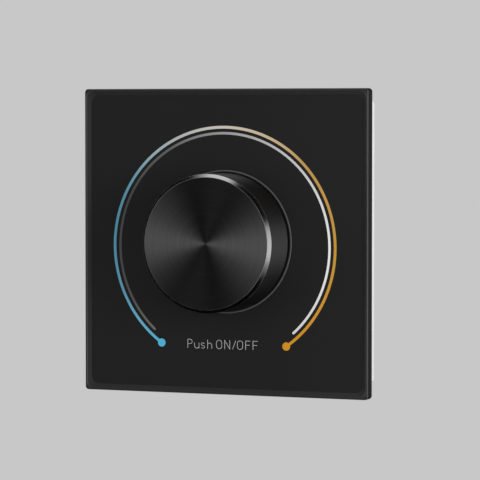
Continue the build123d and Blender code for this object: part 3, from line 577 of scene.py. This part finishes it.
def pen_stroke(places):
    """Pairs of places along the two edges of a pen stroke, with round ends unless it is endless."""
    cap_turns, same_place, sharpest = (30, 60, 80), 1e-6, 0.5
    path = [Vector(p) for p in places]
    endless = (path[0] - path[-1]).length < same_place
    pairs = []
    for i, here in enumerate(path):
        before = path[-2] if endless and i == 0 else path[max(i - 1, 0)]
        after = path[1] if endless and i == len(path) - 1 else path[min(i + 1, len(path) - 1)]
        ways = [way for way in (here - before, after - here) if way.length > same_place]
        ways = [way.normalized() for way in ways]
        along = (ways[0] + ways[-1]).normalized()
        side = Vector((-along.y, along.x)) * (pen / 2 / max(along.dot(ways[0]), sharpest))
        pairs.append((here, along, side))
    if not endless:
        ends = [(math.sin(a), math.cos(a)) for a in map(math.radians, cap_turns)]
        here, along, side = pairs[0]
        pairs = [(here - along * (pen / 2 * s), along, side * c) for s, c in reversed(ends)] + pairs
        here, along, side = pairs[-1]
        pairs += [(here + along * (pen / 2 * s), along, side * c) for s, c in ends]
    return [
        tuple(Vector((p.x / 1000, 0.0, p.y / 1000)) for p in (here + side, here - side))
        for here, along, side in pairs
    ]


def letter_p(left, right):
    """A capital of a stem and a bowl."""
    stem = [(left, foot), (left, cap_line), (right - bowl, cap_line)]
    round_bowl = bow(right - bowl, cap_line - bowl, bowl, bowl, 90, -90)
    return [stem + round_bowl + [(left, cap_line - 2 * bowl)]]


def letter_u(left, right):
    """A small letter of a cup and a stem."""
    first = bow(left + turn_in, foot + turn_in, turn_in, turn_in, 180, 270)
    second = bow(right - turn_in, foot + turn_in, turn_in, turn_in, 270, 360)
    cup = [(left, small_line)] + first + second + [(right, small_line)]
    return [cup, [(right, small_line), (right, foot)]]


def letter_s(middle, half):
    """A small letter of two curls in one stroke."""
    upper = bow(middle, small_line - curl, half, curl, 32, 270, curl_steps)
    lower = bow(middle, foot + curl, half, curl, 90, -148, curl_steps)
    return [upper + lower[1:]]


def letter_h(left, right):
    """A small letter of a tall stem and an arch."""
    first = bow(left + turn_in, small_line - turn_in, turn_in, turn_in, 180, 90)
    second = bow(right - turn_in, small_line - turn_in, turn_in, turn_in, 90, 0)
    return [[(left, foot), (left, cap_line)], first + second + [(right, foot)]]


def letter_o(left, right):
    """A narrow round capital, as one endless stroke."""
    middle, half = (left + right) / 2, (right - left) / 2
    upper = bow(middle, cap_line - half, half, half, 0, 180)
    lower = bow(middle, foot + half, half, half, 180, 360)
    return [upper + lower + upper[:1]]


def letter_n(left, right):
    """A capital of two stems and a slant."""
    low_left, high_left, low_right, high_right = (
        (left, foot), (left, cap_line), (right, foot), (right, cap_line))
    return [[low_left, high_left], [high_left, low_right], [low_right, high_right]]


def letter_f(left, right):
    """A capital of a stem and two bars."""
    bar, shorter = 0.52 * capital, 0.18
    stem = [(left, foot), (left, cap_line), (right, cap_line)]
    return [stem, [(left, bar), (right - shorter, bar)]]


bowl, turn_in, curl, curl_steps = 0.62, 0.6, (small_line - foot) / 4, 14
# each letter has its left and right sides, apart from the curled one with its middle and half width
letters = [
    *letter_p(0.15, 1.51),
    *letter_u(2.24, 3.6),
    *letter_s(4.81, 0.51),
    *letter_h(6.25, 7.52),
    *letter_o(8.95, 10.57),
    *letter_n(11.45, 13.01),
    [(13.88, foot), (14.84, cap_line)],
    *letter_o(15.31, 16.93),
    *letter_f(17.84, 19.2),
    *letter_f(20.05, 21.45),
]
pale_ink, tree, shader, place = new_finish("legend_ink")
specks = shader_node(tree, "TexNoise", Scale=4000.0, Detail=2.0)
tree.links.new(place, specks.inputs["Vector"])
ink_dark, ink_light = shade_of(212, 213, 214), shade_of(228, 229, 230)
ink_shade = two_shades(tree, specks.outputs["Fac"], ink_dark, ink_light)
tree.links.new(ink_shade, shader.inputs["Base Color"])
shader.inputs["Roughness"].default_value = ink_roughness
printed("legend", legend_start, [pen_stroke(letter) for letter in letters], pale_ink)


# Knob: a cap turned from aluminium, spun on its face and black anodised, with a bright cut bevel.
# A moulded core inside it grips the encoder's shaft with a spring leaf.
low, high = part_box("knob_cap")
knob_radius, knob_face, knob_foot = high.x, -low.y, -high.y
knob_bevel, knob_wall, knob_top, foot_break = 0.00095, 0.0018, 0.0024, 0.0003
knob_rounding, knob_sides = 0.0002, 256
knob = turned("knob_turning", eased([
    (0.0, knob_face - knob_top),
    (knob_radius - knob_wall, knob_face - knob_top),
    (knob_radius - knob_wall, knob_foot),
    (knob_radius - foot_break, knob_foot),
    (knob_radius, knob_foot + foot_break),
    (knob_radius, knob_face - knob_bevel),
    (knob_radius - knob_bevel, knob_face),
    (0.0, knob_face),
], knob_rounding), knob_sides)
# painted highlight: the eased edges round the bevel are coloured far lighter than the anodising; painted
# shade: the side is coloured darker than the face
for finish in (
    spun_anodised("knob_spinning", (0.214, 0.214, 0.216), rough=(0.48, 0.54), spread=0.92),
    spun_anodised("knob_bevel_cut", (0.35, 0.35, 0.353), rough=(0.14, 0.2), spread=0.2),
    spun_anodised("knob_side_turning_painted_shade", (0.165, 0.165, 0.167), rough=(0.4, 0.45), spread=0.93),
    spun_anodised("knob_edge_painted_highlight", (0.52, 0.52, 0.523), rough=(0.5, 0.56), spread=0.2),
):
    knob.data.materials.append(finish)
cut_finish, side_shaded_finish, edge_highlight_finish = 1, 2, 3
# how far a face looks forward: 1 on the knob's flat face and 0 on its side
side_most, face_least, cut_least, cut_most = 0.05, 0.995, 0.68, 0.74
edge_zone = 1.5 * knob_bevel
for face in knob.data.polygons:
    height, out, forward = -face.center.y, math.hypot(face.center.x, face.center.z), -face.normal.y
    at_edge = height > knob_face - edge_zone and out > knob_radius - edge_zone
    # the eased edges get the painted highlight, and the side gets the painted shade
    if at_edge and side_most < forward < face_least:
        face.material_index = cut_finish if cut_least < forward < cut_most else edge_highlight_finish
    elif out > knob_radius - foot_break:
        face.material_index = side_shaded_finish
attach(knob, "knob")
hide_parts("knob_cap")
dress(eroded_moulding("core_moulding", (0.02, 0.02, 0.021)), "knob_core")
dress(spring_steel, "knob_clip")
dress(spun_anodised("shaft_turning", (0.3, 0.3, 0.3), rough=(0.25, 0.35), spread=0.4), "encoder_shaft")


# Studio: a pale floor well below the panel and a lamp to its right for the matt surfaces. The
# surround is even for them too. Gloss shows dark flags round the panel, with a low pale screen on
# either side, an upright softbox to the right, one overhead and the pale backdrop behind.
def light_of(level):
    """A grey as seen on a screen, from 0 to 255, as light."""
    return shade_of(level, level, level)[0]


backdrop_level, floor_drop, floor_half = 200, 0.3, 1.2
floor_data = bpy.data.meshes.new("studio_floor")
floor_corners = [
    (sx * floor_half, sy * floor_half, -floor_drop) for sx, sy in ((-1, -1), (1, -1), (1, 1), (-1, 1))
]
floor_data.from_pydata(floor_corners, [], [(0, 1, 2, 3)])
floor = bpy.data.objects.new("studio_floor", floor_data)
floor.visible_glossy = False
bpy.context.scene.collection.objects.link(floor)
paper, tree, shader, place = new_finish("floor_paper")
fibres = shader_node(tree, "TexNoise", Scale=600.0, Detail=3.0)
tree.links.new(place, fibres.inputs["Vector"])
paper_shade = two_shades(tree, fibres.outputs["Fac"], (0.57, 0.57, 0.57), (0.59, 0.59, 0.59))
tree.links.new(paper_shade, shader.inputs["Base Color"])
shader.inputs["Roughness"].default_value = 0.9
floor_data.materials.append(paper)

lamp_place, lamp_size, lamp_strength = Vector((0.27, -0.16, 0.03)), (0.1, 0.14), 12.0
lamp = bpy.data.lights.new("near_lamp", "AREA")
lamp.shape = "RECTANGLE"
lamp.size, lamp.size_y = lamp_size
lamp.energy = lamp_strength * math.pi * lamp_size[0] * lamp_size[1]
box = bpy.data.objects.new("near_lamp", lamp)
box.location = lamp_place
box.rotation_mode = "QUATERNION"
box.rotation_quaternion = (-lamp_place).to_track_quat("-Z", "Y")
box.visible_camera = box.visible_glossy = False
bpy.context.scene.collection.objects.link(box)

surround = bpy.data.worlds.new("studio_surround")
surround.use_nodes = True
surround.cycles.sampling_method = "NONE"
bpy.context.scene.world = surround
tree = surround.node_tree
tree.nodes.clear()
rays = shader_node(tree, "LightPath")
towards = shader_node(tree, "SeparateXYZ")
tree.links.new(shader_node(tree, "TexCoord").outputs["Generated"], towards.inputs["Vector"])


def fades(value, start, end):
    """0 at the start and 1 at the end, with a soft passage between them."""
    made = shader_node(tree, "MapRange", interpolation_type="SMOOTHSTEP", From_Min=start, From_Max=end)
    tree.links.new(value, made.inputs["Value"])
    return made.outputs["Result"]


def off(value, middle):
    """How far a value lies from a middle one."""
    return sum_of(tree, "ABSOLUTE", sum_of(tree, "SUBTRACT", value, middle))


def product(*terms):
    """All the terms multiplied."""
    made = terms[0]
    for term in terms[1:]:
        made = sum_of(tree, "MULTIPLY", made, term)
    return made


sideways, rearward, upward = (towards.outputs[axis] for axis in "XYZ")
band_tilt, plain_light, backdrop_light = 0.19, 0.72, light_of(backdrop_level)
right_screen, left_screen, softbox, overhead, ceiling = 0.64, 0.66, 0.72, 1.42, 0.008
in_front = fades(rearward, 0.1, -0.25)
off_band = off(sum_of(tree, "ADD", upward, product(sideways, band_tilt)), 0.0)
studio_level = 0.004
for level, shape in (
    (right_screen, product(fades(sideways, -0.25, 0.2), fades(off_band, 0.58, 0.12), in_front)),
    (left_screen, product(fades(sideways, -0.55, -0.8), fades(sideways, -0.99, -0.9),
                          fades(off_band, 0.58, 0.12), in_front)),
    (softbox, product(fades(sideways, 0.6, 0.8), fades(off(upward, 0.0), 0.45, 0.22), in_front)),
    (overhead, product(fades(sideways, -0.62, -0.27), fades(sideways, 0.22, -0.04),
                       fades(off(rearward, -0.05), 0.4, 0.15), fades(upward, 0.3, 0.6))),
    (ceiling, fades(upward, -0.1, 0.4)),
    (backdrop_light, product(fades(rearward, 0.35, 0.85), fades(sideways, 0.0, -0.3))),
):
    studio_level = sum_of(tree, "ADD", studio_level, product(shape, level))
white = (1.0, 1.0, 1.0, 1.0)
plain = shader_node(tree, "Background", Color=white, Strength=plain_light)
gloss = shader_node(tree, "Background", Color=white)
behind = shader_node(tree, "Background", Color=white, Strength=backdrop_light)
tree.links.new(studio_level, gloss.inputs["Strength"])
to_gloss, to_camera = shader_node(tree, "MixShader"), shader_node(tree, "MixShader")
shines = sum_of(tree, "MAXIMUM", rays.outputs["Is Glossy Ray"], rays.outputs["Is Transmission Ray"])
tree.links.new(shines, to_gloss.inputs["Fac"])
tree.links.new(plain.outputs["Background"], to_gloss.inputs[1])
tree.links.new(gloss.outputs["Background"], to_gloss.inputs[2])
tree.links.new(rays.outputs["Is Camera Ray"], to_camera.inputs["Fac"])
tree.links.new(to_gloss.outputs["Shader"], to_camera.inputs[1])
tree.links.new(behind.outputs["Background"], to_camera.inputs[2])
world_out = shader_node(tree, "OutputWorld")
tree.links.new(to_camera.outputs["Shader"], world_out.inputs["Surface"])
bpy.context.scene.view_settings.view_transform = "Standard"


# Camera: a long lens a little to the right of the panel and just above its middle, aimed at the
# plane of the rim.
aim = Vector((0.00498, -frame_front, 0.00063))
camera_turn, camera_rise, camera_distance = math.radians(22.31), math.radians(2.49), 0.8022
camera_data = bpy.data.cameras.new("camera")
camera_data.sensor_width = 36.0
camera_data.lens = 214.9
camera = bpy.data.objects.new("camera", camera_data)
back = Vector((
    math.sin(camera_turn) * math.cos(camera_rise),
    -math.cos(camera_turn) * math.cos(camera_rise),
    math.sin(camera_rise),
))
camera.location = aim + back * camera_distance
camera.rotation_mode = "QUATERNION"
camera.rotation_quaternion = (-back).to_track_quat("-Z", "Y")
bpy.context.scene.collection.objects.link(camera)
bpy.context.scene.camera = camera
